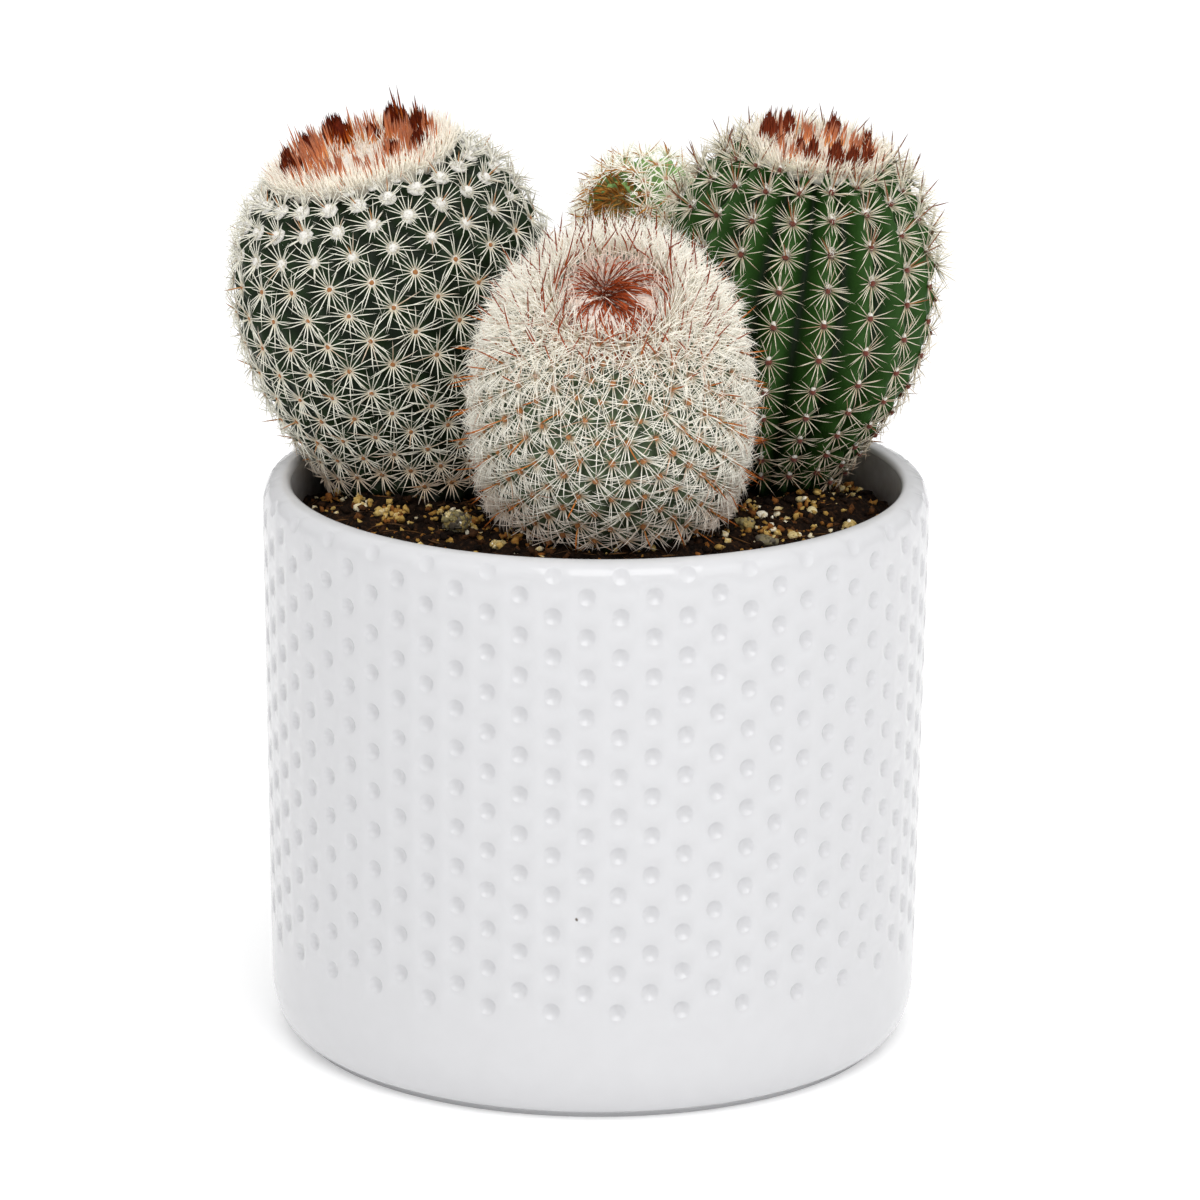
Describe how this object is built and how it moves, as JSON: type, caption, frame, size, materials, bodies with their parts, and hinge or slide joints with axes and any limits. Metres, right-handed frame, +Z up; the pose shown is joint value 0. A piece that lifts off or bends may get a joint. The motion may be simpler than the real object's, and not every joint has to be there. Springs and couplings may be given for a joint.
{
  "type": "potted silver ball cactus",
  "caption": "Cluster of round, white-spined ball cactus heads with woolly crowns, in gritty soil in a straight white ceramic pot with small round dimples.",
  "frame": {"origin": "centre of the pot's foot, on the surface that the pot stands on", "axes": "+Z up along the pot's axis, -Y towards the side where the lowest head leans out between the two big ones, +X to the right seen from that side"},
  "size_m": [0.1445, 0.1298, 0.1836],
  "materials": {
    "pot_glaze": "glossy white glaze",
    "soil": "loose dark potting mix",
    "flesh_left": "blue-green skin under white spines",
    "flesh_front": "grey-green skin thickly covered in white spines",
    "flesh_right": "bright green skin with cream spines",
    "flesh_back": "bright green tubercles",
    "crown_wool": "cream wool with red-brown young spines",
    "grit": "rough tan and grey stone"
  },
  "bodies": {
    "root": {"pot": "pot_glaze", "soil": "soil", "left_head": "flesh_left", "left_crown": "crown_wool", "front_head": "flesh_front", "front_crown": "crown_wool", "right_head": "flesh_right", "right_crown": "crown_wool", "back_head": "flesh_back", "back_crown": "crown_wool", "grit_1": "grit", "grit_2": "grit", "grit_3": "grit", "grit_4": "grit", "grit_5": "grit", "grit_6": "grit"}
  },
  "joints": []
}
